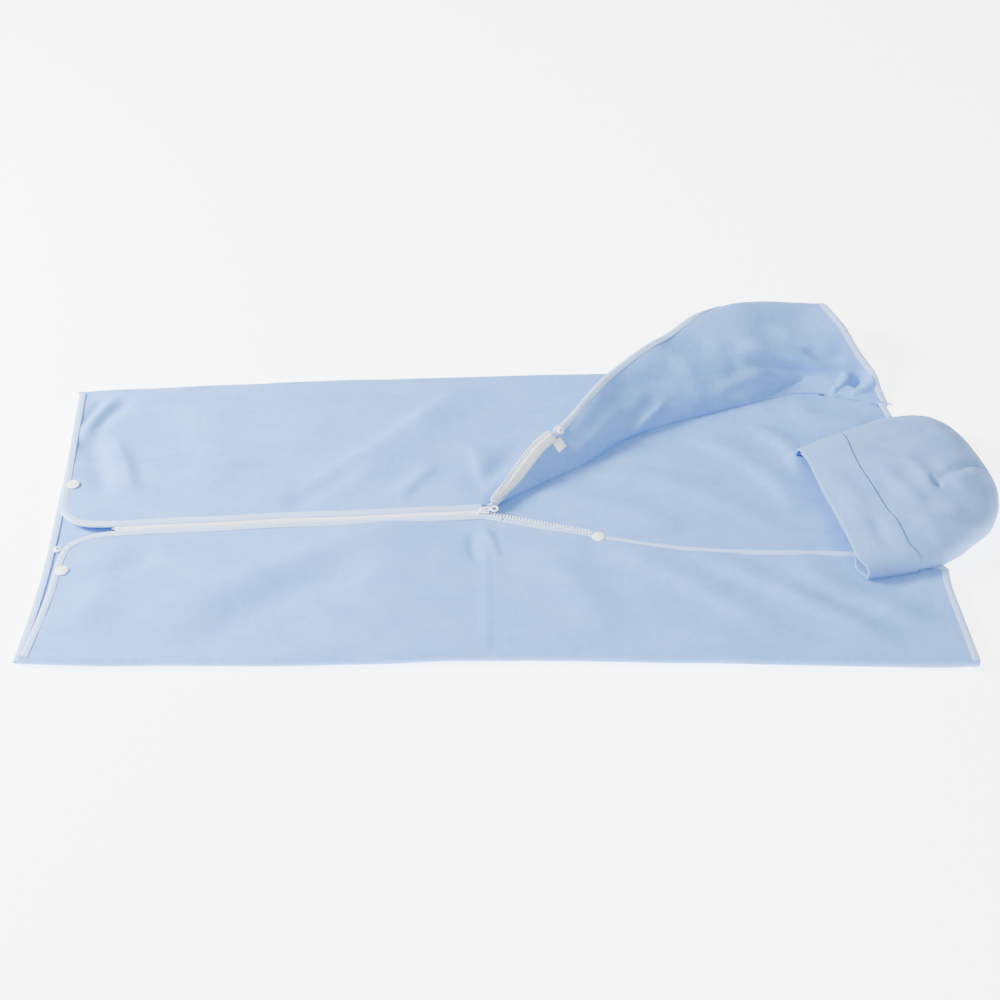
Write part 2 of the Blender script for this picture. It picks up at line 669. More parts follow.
def cornerSplit(line, share):
    # Divides a line at a share of its length.
    cut = int(len(line) * share)
    return line[: cut + 1], line[cut:]


# near front: its foot edge turns into the zip edge half-way round the rounded corner
nearInner = insetLine(nearFootEdge, -inset)
nearFootPart, nearTurnPart = cornerSplit(nearInner, 0.72)
nearOpenInner = insetLine(nearOpenEdge, -inset)
nearTop = np.concatenate([nearTurnPart, insetLine(nearZipEdge, -inset), nearOpenInner])
nearHeadInner = insetLine(nearHeadEdge, -inset)
nearHeadPart = np.r_[nearTop[-1:], nearHeadInner[6:]][::-1]
nearCloth = frontCloth(
    "near_front_cloth", nearSide, nearTop, nearFootPart, nearHeadPart, -1, nearFolds, 11, 330, 74)
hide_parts("near_front_panel", "near_front_flap", "near_side_fold")

# The turned-back flap: s runs along its crease, and a outward from it over the cloth
creaseLine = spline([
    (-6, -9), (14, 10), (60, 41), (118, 77), (172, 119), (222, 144), (275, 163), (333, 183),
    (395, 199), (455, 194), (520, 175)], 600)
creaseReach = np.r_[0, np.cumsum(np.linalg.norm(np.diff(creaseLine, axis=0), axis=1))]
creaseTotal = creaseReach[-1]
creaseSlope = unit(np.gradient(creaseLine, creaseReach, axis=0))
creaseTurn = np.unwrap(np.arctan2(creaseSlope[:, 1], creaseSlope[:, 0]))
window = np.hanning(181) / np.hanning(181).sum()
creaseTurn = np.convolve(np.pad(creaseTurn, 90, mode="edge"), window, mode="valid")
# The flap's section at each s is a slope along a: steepest at the crease and level at the crest,
# then over and down. Towards the head end the foot of the slope leaves the crease, and past it the
# cloth rises gently from the back cloth without a crease.
tableS = np.linspace(-4, creaseTotal + 6, 200)
tableA = np.arange(0, 262.0)
tableBase = np.interp(tableS, [0, 12, 40, 380, 470, creaseTotal], [13, 9.5, 6.2, 6.0, 3.2, 2.4])
headward = smooth((tableS - 468) / 70)


def flapTable():
    # How far out and up the section is at each a: running sums of its slope's cosine and sine.
    lift = np.interp(tableS, [0, 60, 150, 300, 450, creaseTotal], np.radians([45, 52, 56, 56, 51, 47]))
    crest = np.interp(tableS, [0, 100, 200, 300, 350, 400, 440, 480, 520, creaseTotal],
                      [150, 148, 141, 133, 130, 136, 137, 132, 127, 124])
    foot = np.interp(tableS, [395, 430, 460, 484, 505, 545], [0, 5, 11, 22, 19, 0])
    bell = np.hanning(21)[1:-1] / np.hanning(21).sum()
    lift, crest, foot = (
        np.convolve(np.pad(v, 9, mode="edge"), bell, mode="valid") for v in (lift, crest, foot))
    out, up = np.zeros((len(tableS), len(tableA))), np.zeros((len(tableS), len(tableA)))
    up[:, 0] = tableBase
    for k in range(1, len(tableA)):
        a = tableA[k] - 0.5
        share = np.clip((a - foot) / (crest - foot), 0, 1)
        crisp = lift * (1 - share) * (1 - smooth(foot / 8) * (1 - smooth((a - foot + 2) / 5)))
        crisp = crisp + 0.62 * smooth((a - foot + 1) / 2) * np.exp(-np.maximum(a - foot, 0) / 4.5)
        crisp = np.maximum(crisp, np.radians(5) * smooth((foot - a) / 3))
        gentle = 0.9 * lift * np.sin(np.pi * np.clip(a / crest, 0, 1))
        over = np.clip((a - crest) / 21, 0, np.pi / 2)
        slope = (1 - headward) * crisp + headward * gentle - over
        slope = np.where((up[:, k - 1] < 2.2) & (slope < 0), 0, slope)
        out[:, k] = out[:, k - 1] + np.cos(slope)
        up[:, k] = np.maximum(up[:, k - 1] + np.sin(slope), 2.0)
    return out, up, lift


tableOut, tableUp, tableLift = flapTable()


def lookUp(table, s, a):
    # The table read between its entries, in a straight line both ways.
    u = np.clip((s - tableS[0]) / (tableS[1] - tableS[0]), 0, len(tableS) - 1.001)
    v = np.clip(a, 0, len(tableA) - 1.001)
    i, j = u.astype(int), v.astype(int)
    f, g = u - i, v - j
    return ((table[i, j] * (1 - f) + table[i + 1, j] * f) * (1 - g)
            + (table[i, j + 1] * (1 - f) + table[i + 1, j + 1] * f) * g)


def flapSurface(s, a):
    # The crease line's place at s, then out to the left of its bearing and up, by the table.
    s, a = np.asarray(s, float), np.asarray(a, float)
    out, up = lookUp(tableOut, s, a), lookUp(tableUp, s, a)
    # before the crease, the cloth turns back under itself
    lift = np.interp(s, tableS, tableLift) * (1 - np.interp(s, tableS, headward))
    tight = 1.6 - 1.1 * np.interp(s, tableS, headward)
    angle = np.pi / 2 + lift + np.clip(-a / 1.6, 0, None)
    out = np.where(a < 0, tight * (np.sin(lift) + np.cos(angle)), out)
    up = np.where(a < 0, up - tight * np.cos(lift) + tight * np.sin(angle), up)
    bearing = np.interp(s, creaseReach, creaseTurn)
    x = np.interp(s, creaseReach, creaseLine[:, 0]) - out * np.sin(bearing)
    y = np.interp(s, creaseReach, creaseLine[:, 1]) + out * np.cos(bearing)
    return np.stack([x, y, np.maximum(up, 1.6)], -1)


flapFolds = [
    dict(line=[(392, 76), (430, 62), (457, 54), (486, 44), (514, 38)], height=6.0, widths=(13, 8)),
    dict(line=[(396, 56), (430, 44), (453, 38), (475, 34), (500, 20)], height=-5.5, widths=(9, 7)),
    dict(line=[(222, 0), (240, 9), (262, 18), (288, 30)], height=3.2, widths=(3.5, 8), fade=0.3),
    dict(line=[(214, 12), (240, 22), (280, 42)], height=-2.2, width=8),
    dict(line=[(501, 0), (514, 14), (524, 30), (520, 44)], height=6.5, widths=(5, 7)),
    dict(line=[(512, 2), (528, 14), (540, 30), (538, 44)], height=-5.2, width=6),
    dict(line=[(522, 2), (545, 18), (556, 36), (548, 52)], height=5.8, widths=(5, 6)),
    dict(line=[(470, 66), (500, 56), (528, 60)], height=-3.5, width=7),
    dict(line=[(440, 92), (486, 78), (520, 84)], height=3.0, width=11),
    dict(line=[(300, 112), (350, 92), (380, 84)], height=-3.5, width=15),
    dict(line=[(330, 132), (400, 112), (460, 112)], height=3.0, width=18),
    dict(line=[(300, 74), (350, 60), (392, 40)], height=3.2, width=14),
    dict(line=[(190, 40), (250, 58), (330, 52)], height=-3.0, width=17),
    dict(line=[(120, 12), (180, 24), (236, 44)], height=2.4, width=10),
    dict(line=[(150, 40), (200, 60), (240, 84)], height=2.2, width=14),
    dict(line=[(340, 20), (390, 30), (440, 34)], height=2.4, width=8),
    dict(line=[(545, 50), (556, 36), (562, 22)], height=3.0, width=5),
]
looseEdge = spline([
    (1, 0.5), (19, 8), (37, 15), (62, 28), (96, 44), (131, 54), (211, 78), (282, 105), (351, 133),
    (420, 171), (482, 208)], 260)
flapHeadEdge = spline([(482, 208), (495, 165), (506, 124), (519, 99), (530, 80), (543, 63),
                       (556, 49), (565, 34), (574, 17), (583, 0)], 120)


def flapNormal(s, a):
    # Cross product of small steps along s and along a.
    step = 0.7
    ds = flapSurface(s + step, a) - flapSurface(s - step, a)
    da = flapSurface(s, a + step) - flapSurface(s, np.maximum(a - step, 0))
    return unit(np.cross(ds, da))


def flapLift(s, a):
    # Noise that fades in from the crease, plus the folds.
    soft = 2.4 * softNoise(s, a, 70, 41) + 0.9 * softNoise(s, a, 28, 42) + 0.12 * softNoise(s, a, 9, 43)
    return soft * smooth((a + 4) / 14) + foldHeight(s, a, flapFolds)


def onFlap(s, a, above=0.0):
    # The surface, raised along its normal by the lift and kept above the floor.
    s, a = np.asarray(s, float), np.asarray(a, float)
    place = flapSurface(s, a) + flapNormal(s, a) * (flapLift(s, a) + above)[..., None]
    place[..., 2] = np.maximum(place[..., 2], 2.7)
    return place


def fromLoose(line, distance):
    # A line in (s, a) moved in from the loose edge, to its right.
    direction = unit(np.gradient(line, axis=0))
    return line + distance * np.stack([direction[:, 1], -direction[:, 0]], -1)


clothEdge = np.concatenate([
    spread(fromLoose(looseEdge, inset)[:-7], 190),
    spread(fromLoose(flapHeadEdge, inset)[7:], 70)])
clothEdge[:, 1] = np.maximum(clothEdge[:, 1], 0.5)
creaseShare = np.linspace(9, 577, len(clothEdge))
rows = np.r_[np.linspace(-5.2, -0.4, 9), 0]
across = np.linspace(0, 1, 74) ** 1.05
flapS = np.concatenate([
    np.repeat(creaseShare[:, None], len(rows), 1),
    creaseShare[:, None] + (clothEdge[:, :1] - creaseShare[:, None]) * across[1:]], 1)
flapA = np.concatenate([
    np.repeat(rows[None], len(creaseShare), 0), clothEdge[:, 1:] * across[1:]], 1)
flapGrid = onFlap(flapS, flapA)
flapCloth = shell("far_flap_cloth", flapGrid, bag["cloth"], innerCloth)
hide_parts("far_front_flap")
print("flap made")


# far front: the crease takes the place of the zip edge beyond the slider
def farLevel(plan, height):
    # Down to the crease, where the cloth turns back on itself.
    x, y = plan[..., 0], plan[..., 1]
    line = np.interp(x, creaseLine[:, 0], creaseLine[:, 1])
    near = smooth((y - line) / 34)
    beyond = smooth((x + 12) / 22)
    low = 4.4
    return height * (1 - beyond) + beyond * (low + (height - low) * near)


farInner = insetLine(farFootEdge, inset)
farFootPart, farTurnPart = cornerSplit(farInner, 0.71)
creaseBack = insetLine(creaseLine, 1.8)[12:]
farTop = np.concatenate([farTurnPart, insetLine(farZipEdge, inset)[:-2], creaseBack])
farHeadPart = spread([farSide[-1], farTop[-1]], 20)
farCloth = frontCloth(
    "far_front_cloth", farSide, farTop, farFootPart, farHeadPart, 1, farFolds, 23, 330, 74, farLevel)
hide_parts("far_front_panel", "far_side_fold")

# Back cloth
backFar = spread(farSide, 300) + [0, -14]
backNear = spread(nearSide, 300) + [0, 14]
backFoot = insetLine(backFootEdge, inset)[::-1]
backHead = insetLine(backHeadEdge, inset)
backFoot = spread(np.r_[[backNear[0]], backFoot[12:-12], [backFar[0]]], 100)
backHead = spread(np.r_[[backNear[-1]], backHead[12:-12], [backFar[-1]]], 100)
backFar[0], backFar[-1] = backFoot[-1], backHead[-1]
backNear[0], backNear[-1] = backFoot[0], backHead[0]
backPlan = coons(backNear, backFar, backFoot, backHead)
bx, by = backPlan[..., 0], backPlan[..., 1]
openShare = smooth((bx - 10) / 60) * smooth((515 - bx) / 30)
backZ = bag["back"] + openShare * np.maximum(
    0, 0.9 + 0.9 * softNoise(bx, by, 80, 5) + 0.3 * softNoise(bx, by, 25, 6)
    + foldHeight(bx, by, backFolds))
backCloth = shell("back_cloth", np.concatenate([backPlan, backZ[..., None]], -1), bag["cloth"],
                  innerCloth)
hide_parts("back_panel")
print("cloths made")


# Bindings
def bindingSection():
    # Tape folded over a cloth edge: an open channel with walls about 0.8 mm thick, rounded
    # outside, and pulled in along the stitch line.
    w = bag["binding"] / 2
    upper = [(-w, 1.6), (-w + 0.8, 1.95), (-w + 1.8, 1.8), (-w + 2.8, 2.15), (0, 2.25),
             (w - 2.6, 2.1), (w - 1.2, 1.65), (w - 0.35, 0.85)]
    lower = [(p, -q) for p, q in reversed(upper)]
    inside = [(-w, -1.2), (w - 1.5, -1.2), (w - 1.0, 0), (w - 1.5, 1.2), (-w, 1.2)]
    return upper + [(w, 0)] + lower + inside


def flatBinding(name, edge, level, side, node, seed=3):
    # Binding along a plan line. side is +1 when the cloth is to the left of the line.
    line = spread(edge, max(int(lengthOf(edge) / 3.2), 8))
    middle = insetLine(line, side * inset)
    waver = 0.25 * softNoise(line[:, 0], line[:, 1], 22, seed)
    z = np.full(len(line), level) + waver
    slope = unit(np.gradient(middle, axis=0))
    outward = -side * np.stack([-slope[:, 1], slope[:, 0]], -1)
    path = np.c_[middle, z]
    made = sweep(name, path, np.c_[outward, np.zeros(len(line))], bindingSection(), binding)
    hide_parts(node)
    return made, lengthOf(path)


farRim = np.concatenate([farFootEdge[:-1], farZipEdge])
nearRim = np.concatenate([nearFootEdge[:-1], nearZipEdge[:-1],
                          along(openAngle, np.linspace(2, 26, 8), -edgeGap)])
nearOpenRim = np.concatenate([along(openAngle, np.array([26.05]), -edgeGap), nearOpenEdge[5:-1],
                              nearHeadEdge])
farBinding, farBindingLength = flatBinding(
    "far_front_binding_look", farRim, bag["front"], 1, "far_front_binding")
nearBinding, nearBindingLength = flatBinding(
    "near_front_binding_look", nearRim, bag["front"], -1, "near_front_binding")
nearOpenBinding, nearOpenLength = flatBinding(
    "near_flap_binding_look", nearOpenRim, bag["front"], -1, "near_flap_binding")
backFootBinding, backFootLength = flatBinding(
    "back_foot_binding_look", backFootEdge, bag["backBinding"], 1, "back_foot_binding")
backHeadBinding, backHeadLength = flatBinding(
    "back_head_binding_look", backHeadEdge, bag["backBinding"], 1, "back_head_binding")

flapRim = np.concatenate([
    spread(looseEdge, 230)[:-2],
    spread(fromLoose(np.array([looseEdge[-1], flapHeadEdge[0]]) + [[-1, -2], [1, -2]], 0.0), 3),
    spread(flapHeadEdge, 80)[2:]])
rimMiddle = spread(fromLoose(flapRim, inset), 300)
rimMiddle[:, 1] = np.maximum(rimMiddle[:, 1], 0.2)
rimPath = onFlap(rimMiddle[:, 0], rimMiddle[:, 1])
rimNormal = flapNormal(rimMiddle[:, 0], rimMiddle[:, 1])
rimAhead = unit(np.gradient(rimPath, axis=0))
rimOut = np.cross(rimNormal, rimAhead)
flapBinding = sweep("far_flap_binding_look", rimPath, rimOut, bindingSection(), binding)
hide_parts("far_flap_binding")
print("bindings made")

# Zip
toothBlock = roundedBlock((1.75, 3.6, zipSizes["toothHeight"]), 0.32)
toothHead = roundedBlock((2.3, 1.5, zipSizes["toothHeight"] * 0.86), 0.34)
toothHead = (toothHead[0] + [0, 1.25, 0], toothHead[1])
tooth = joined([toothBlock, toothHead])


def teethRow(name, place, reaches, side, node):
    # Moulded teeth along a line, each pointing to the zip line from one side.
    middle = place(reaches, side * (rowOut - 2.6))
    ahead = place(reaches + 0.5, side * (rowOut - 2.6)) - middle
    inward = place(reaches, 0) - place(reaches, side * 3)
    if middle.shape[1] == 2:
        level = np.full(len(reaches), toothMiddle)
        middle, ahead = np.c_[middle, level], np.c_[ahead, 0 * level]
        inward = np.c_[inward, 0 * level]
    made = copies(name, tooth, middle, ahead, inward, zipPlastic)
    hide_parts(node)
    return made


def cordRow(name, place, reaches, side):
    # The thread cord that the teeth are moulded onto.
    line = place(reaches, side * rowOut)
    across = place(reaches, side * (rowOut + 1)) - line
    if line.shape[1] == 2:
        line = np.c_[line, np.full(len(line), toothMiddle)]
        across = np.c_[across, np.zeros(len(line))]
    turn = np.linspace(0, 2 * np.pi, 9)[:-1]
    section = np.stack([0.75 * np.cos(turn), -0.75 * np.sin(turn)], -1)
    made = sweep(name, line, across, section, tapeCloth)
    return made


closedReaches = np.arange(-zipReach + toothPitch / 2, -6, toothPitch)
openReaches = np.arange(9, openLength, toothPitch)


def nearOpenPlace(reach, offset):
    return along(openAngle, reach, offset)


def loosePlace(reach, offset, above=0.0):
    # Places by distance along the flap's loose edge, and out from the middle of its teeth.
    edge = fromLoose(looseEdge, -edgeGap)
    length = np.r_[0, np.cumsum(np.linalg.norm(np.diff(edge, axis=0), axis=1))]
    direction = unit(np.gradient(edge, axis=0))
    reach, offset = np.asarray(reach, float), np.asarray(offset, float)
    at = np.stack([np.interp(reach, length, edge[:, k]) for k in (0, 1)], -1)
    d = np.stack([np.interp(reach, length, direction[:, k]) for k in (0, 1)], -1)
    s = at[..., 0] + offset * d[..., 1]
    a = at[..., 1] - offset * d[..., 0]
    return onFlap(s, a, above)


def looseTeeth(reach, offset):
    return loosePlace(reach, offset, above=1.3)


teethPieces = [
    teethRow("far_closed_teeth", zipLine, closedReaches, 1, "far_teeth_closed"),
    teethRow("near_closed_teeth", zipLine, closedReaches + toothPitch / 2, -1, "near_teeth_closed"),
]
nearOpenTeeth = teethRow("near_open_teeth", nearOpenPlace, openReaches, -1, "near_teeth_open")
flapTeeth = teethRow("far_open_teeth", looseTeeth, openReaches + 1, 1, "far_teeth_open")
cordReaches = np.linspace(-zipReach - 3, -4, 120)
farCord = cordRow("far_zip_cord_closed", zipLine, cordReaches, 1)
nearCord = cordRow("near_zip_cord_closed", zipLine, cordReaches, -1)
openCordReaches = np.linspace(6, openLength + 3, 50)
nearOpenCord = cordRow("near_zip_cord_open", nearOpenPlace, openCordReaches, -1)
flapCord = cordRow("far_zip_cord_open", looseTeeth, openCordReaches, 1)


def tape(name, place, start, end, side, node, level=zipSizes["tapeLevel"], across=5, above=None):
    # A zip tape beside a row of teeth. The one on the flap narrows towards the slider.
    reach, offset = np.meshgrid(
        np.linspace(start, end, max(int((end - start) / 3), 8)),
        np.linspace(rowOut + 0.3, rowOut + zipSizes["tape"], across), indexing="ij")
    if above is None:
        plan = np.stack([place(reach[:, k], side * offset[0, k]) for k in range(across)], 1)
        middle = np.concatenate([plan, np.full((*plan.shape[:2], 1), level)], -1)
    else:
        shown = 0.36 + 0.44 * smooth((reach - 16) / 50)
        offset = rowOut + 0.3 + (offset - rowOut - 0.3) * shown
        middle = place(reach, side * offset, above)
    if normals(middle)[..., 2].mean() < 0:
        middle = middle[::-1]
    made = shell(name, middle, 0.6, tapeCloth)
    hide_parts(node)
    return made, end - start


farTape, farTapeLength = tape(
    "far_zip_tape_closed", zipLine, -zipReach - 10, -2, 1, "far_tape_closed")
nearTape, nearTapeLength = tape(
    "near_zip_tape_closed", zipLine, -zipReach - 10, -2, -1, "near_tape_closed")
nearOpenTape, nearOpenTapeLength = tape(
    "near_zip_tape_open", nearOpenPlace, 4, openLength + 4, -1, "near_tape_open")
flapTape, flapTapeLength = tape(
    "far_zip_tape_open", loosePlace, 13, openLength + 4, 1, "far_tape_open", above=2.7)


def stopBlock(name, place, ahead, side, size, node):
    made = copies(name, roundedBlock(size, 0.5), np.array([place]), np.array([ahead]),
                  np.array([side]), zipPlastic)
    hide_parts(node)
    return made


stopAt = np.r_[along(zipAngle, -zipReach - 2.8), toothMiddle]
zipAhead = np.array([np.cos(zipAngle), np.sin(zipAngle), 0])
zipSide = np.array([-np.sin(zipAngle), np.cos(zipAngle), 0])
bottomStop = stopBlock("bottom_stop_look", stopAt, zipAhead, zipSide, (5, 5.7, 2.8), "bottom_stop")
openAhead = np.array([np.cos(openAngle), np.sin(openAngle), 0])
openSide = np.array([-np.sin(openAngle), np.cos(openAngle), 0])
nearStop = stopBlock("near_top_stop_look", np.r_[along(openAngle, openLength + 2, -1.7), toothMiddle],
                     openAhead, openSide, (3, 2.6, 2.8), "near_top_stop")
flapStopAt = looseTeeth(openLength + 2.0, 1.7)
flapStop = stopBlock("far_top_stop_look", flapStopAt, looseTeeth(openLength + 3.0, 1.7) - flapStopAt,
                     looseTeeth(openLength + 2.0, 3.7) - flapStopAt, (3, 2.6, 2.8), "far_top_stop")


# The slider is drawn about its own middle and turned onto the zip line.
sliderSizes = {
    "topPlate": (13.3, 15.0),  # from one height to another
    "underPlate": (6.6, 8.0),
    "strapWidth": 2.4,
    "rounding": 0.45,
    "strapRounding": 0.3,
}


def ontoZip(block, z=0.0):
    verts, faces = block
    turned = np.stack([
        sliderX + verts[:, 0] * np.cos(zipAngle) - verts[:, 1] * np.sin(zipAngle),
        sliderY + verts[:, 0] * np.sin(zipAngle) + verts[:, 1] * np.cos(zipAngle),
        verts[:, 2] + z], -1)
    return turned, faces


def arc(cx, cy, radius, start, end, count):
    # Places round a circle, with angles in degrees.
    t = np.radians(np.linspace(start, end, count))
    return np.stack([cx + radius * np.cos(t), cy + radius * np.sin(t)], -1)


sliderOutline = np.concatenate([
    [(-6.3, -3.1), (-2, -3.9), (1.5, -4.7)], arc(4.5, -2.7, 2.0, -90, -10, 6),
    arc(4.5, 2.7, 2.0, 10, 90, 6), [(1.5, 4.7), (-2, 3.9), (-6.3, 3.1)], [(-6.8, 1.2), (-6.8, -1.2)]])
topPlate = prism(sliderOutline, *sliderSizes["topPlate"])
# the bridge: a strap that rises over the pull's cross bar
strap = np.concatenate([
    [(-4.4, 14.9), (-4.3, 16.6)], arc(-2.2, 16.7, 2.1, 180, 90, 6), arc(2.2, 16.7, 2.1, 90, 0, 6),
    [(4.4, 14.9), (3.0, 14.9)], arc(1.6, 16.6, 1.2, 0, 90, 5), arc(-1.6, 16.6, 1.2, 90, 180, 5),
    [(-3.0, 14.9)]])
sides = np.array([-0.5, 0.5]) * sliderSizes["strapWidth"]
strapVerts = np.concatenate([np.c_[strap[:, 0], np.full(len(strap), w), strap[:, 1]] for w in sides])
count = len(strap)
strapFaces = [[k, (k + 1) % count, count + (k + 1) % count, count + k] for k in range(count)]
strapFaces += [list(range(count))[::-1], list(range(count, 2 * count))]
sliderTop = makeMesh("slider_top_look", *ontoZip(topPlate), zipPlastic)
sliderBridge = makeMesh("slider_bridge", *ontoZip((strapVerts, strapFaces)), zipPlastic)
underPlate = prism(sliderOutline, *sliderSizes["underPlate"])
sliderUnder = makeMesh("slider_underside_look", *ontoZip(underPlate), zipPlastic)
for made in (sliderTop, sliderUnder, sliderBridge):
    bevelled(made, sliderSizes["strapRounding" if made is sliderBridge else "rounding"])
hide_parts("slider_top")
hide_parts("slider_underside")

# The pull has a cross bar in the bridge, two arms, a neck and a ring.
pullSizes = {
    "ringFromBar": 12.2,
    "ringOuter": 4.9,
    "ringInner": 2.7,
    "level": 16.4,
    "thickness": 1.8,
    "rounding": 0.4,
}
ringX, ringOut, ringIn = (pullSizes[key] for key in ("ringFromBar", "ringOuter", "ringInner"))
axisLevel = pullSizes["level"]
outer = np.concatenate([
    [(-0.9, -3.2), (5.6, -3.2), (7.4, -2.2)], arc(ringX, 0, ringOut, -154, 154, 30),
    [(7.4, 2.2), (5.6, 3.2), (-0.9, 3.2)]])
plate = prism(outer, -pullSizes["thickness"] / 2, pullSizes["thickness"] / 2)
pull = makeMesh("pull_tab_look", *ontoZip(plate, axisLevel), zipPlastic)


def cutter(name, outline):
    return makeMesh(name, *ontoZip(prism(outline, -3, 3), axisLevel), zipPlastic)


holes = [cutter("hole", arc(ringX, 0, ringIn, 0, 345, 24)),
         cutter("slot", np.array([(0.8, -1.7), (5.0, -1.7), (5.0, 1.7), (0.8, 1.7)]))]
for hole in holes:
    cut = pull.modifiers.new("opening", "BOOLEAN")
    cut.object = hole
    cut.operation = "DIFFERENCE"
    cut.solver = "EXACT"
bpy.context.view_layer.update()
cutMesh = bpy.data.meshes.new_from_object(pull.evaluated_get(bpy.context.evaluated_depsgraph_get()))
pull.modifiers.clear()
pull.data = cutMesh
for hole in holes:
    bpy.data.objects.remove(hole)
bevelled(pull, pullSizes["rounding"])
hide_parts("pull_tab")
print("zip made")

# Press studs
# Profiles are (radius, height) places, and levels are heights above the floor.
studLevels = {"dome": 13.5, "socket": 9.3, "ring": 4.4, "back": 1.15}
domeProfile = [
    (0, -3.2), (1.4, -3.2), (1.4, 0), (7.2, 0), (7.5, 0.25), (7.35, 0.75), (6.7, 1.25),
    (5.6, 1.5), (5.0, 1.42), (4.6, 1.5), (3.2, 1.85), (1.6, 2.02), (0, 2.05)]
socketProfile = [(1.9, -1.2), (2.8, -1.4), (3.1, -2.6), (4.7, -2.5), (5.2, -1.9), (5.2, 0), (1.9, 0)]
studProfile = [
    (1.7, 0), (4.9, 0), (4.9, 0.45), (4.3, 0.75), (3.0, 0.8), (2.9, 1.5), (2.5, 1.75),
    (1.8, 1.75), (1.6, 1.4)]
flatCapProfile = [
    (0, -2.2), (1.5, -2.2), (1.5, 0), (5.0, 0), (5.2, 0.4), (5.1, 0.8), (4.6, 1.1), (0, 1.1)]


def studPart(name, profile, place, axis, node):
    made = lathe(name, profile, place, axis, studPlastic)
    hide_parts(node)
    return made


def boxMiddle(node):
    # Middle of a node's box, from metres to millimetres.
    low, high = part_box(node)
    return (np.array(low) + np.array(high)) * 500


up, down = (0, 0, 1), (0, 0, -1)
studs = {}
for name in ("foot_far", "foot_near", "head"):
    cap = boxMiddle(f"{name}_snap_cap")
    studs[f"{name}_snap_cap"] = studPart(
        f"{name}_dome", domeProfile, (cap[0], cap[1], studLevels["dome"]), up, f"{name}_snap_cap")
    studs[f"{name}_snap_socket"] = studPart(
        f"{name}_socket", socketProfile, (cap[0], cap[1], studLevels["socket"]), up,
        f"{name}_snap_socket")
for name in ("foot_far", "foot_near"):
    ring = boxMiddle(f"{name}_stud")
    studs[f"{name}_stud"] = studPart(
        f"{name}_ring", studProfile, (ring[0], ring[1], studLevels["ring"]), up, f"{name}_stud")
    studs[f"{name}_stud_cap"] = studPart(
        f"{name}_back", flatCapProfile, (ring[0], ring[1], studLevels["back"]), down, f"{name}_stud_cap")
ringAt = (135.0, 49.0)  # s and a on the flap
ringOff = 2.3  # middle of the cloth to the stud on either face
ringPlace = onFlap(*ringAt)
ringAxis = flapNormal(*np.array(ringAt))
studs["head_stud"] = studPart(
    "head_ring", studProfile, ringPlace + ringAxis * ringOff, ringAxis, "head_stud")
studs["head_stud_cap"] = studPart(
    "head_back", domeProfile, ringPlace - ringAxis * ringOff, -ringAxis, "head_stud_cap")

# Care label
labelSizes = {"side": 14.0, "thickness": 0.4}
labelSide = labelSizes["side"]
lu, lv = np.meshgrid(np.linspace(0, labelSide, 12), np.linspace(0, labelSide, 12), indexing="ij")
labelGrid = onFlap(117 + lu * 0.95 + lv * 0.16, 38.5 + lu * 0.24 - lv * 0.95,
                   1.9 + 1.2 * np.sin(lu / 4.2) * (lv / labelSide) + 0.9 * lv / labelSide)
label = shell("care_label_look", labelGrid, labelSizes["thickness"], labelCloth)
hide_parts("care_label")

# Cap
capSizes = {
    "mouth": (397.0, -32.0),
    "bearing": 13.5,  # degrees
    "cuff": 58.0,
    "length": 219.0,
    "stations": [0, 30, 58, 90, 124, 161, 183, 200, 211, 217, 219],  # from the mouth
    "halves": [110, 114, 117, 119.5, 116.5, 106, 95, 79, 58, 34, 12],  # half widths there
    "middles": [5, 7, 9, 11.5, 18.5, 25, 30, 33, 33, 31, 30],
    "heights": [30, 36, 40, 44, 46, 45, 41, 34, 26, 17, 9],
}
capX, capY = capSizes["mouth"]
capTurn = np.radians(capSizes["bearing"])
cuffDepth, crownEnd = capSizes["cuff"], capSizes["length"]


def capValue(x, values):
    # Values at the stations joined by lines, then averaged over 7 samples except near the tip.
    fine = np.linspace(0, crownEnd, 120)
    rough = np.interp(fine, capSizes["stations"], values)
    soft = np.convolve(np.pad(rough, 3, mode="edge"), np.ones(7) / 7, mode="valid")
    soft = np.where(fine < 195, soft, rough)
    return np.interp(x, fine, soft)


capFolds = [
    dict(line=[(214, 9), (193, 12), (167, 4), (141, -4), (130, -8)], height=-3.6, width=2.8, fade=0.1),
    dict(line=[(200, -6), (170, -12), (140, -22)], height=4.0, width=12),
    dict(line=[(190, 28), (160, 18), (134, 6)], height=2.5, width=9),
    dict(line=[(126, -2), (129, -9), (134, -17)], height=-6.0, width=4.5),
    dict(line=[(66, 80), (119, 76), (157, 74), (180, 50)], height=-4.0, widths=(12, 16)),
    dict(line=[(80, 40), (86, 0), (104, -40)], height=2.8, width=11),
    dict(line=[(104, 52), (118, 16), (116, -30)], height=2.6, width=10),
    dict(line=[(70, -60), (110, -66), (150, -50)], height=3.0, width=14),
    dict(line=[(12, 60), (24, 0), (20, -60)], height=1.6, width=16),
    dict(line=[(40, -30), (34, -70), (44, -96)], height=-2.2, width=8),
]


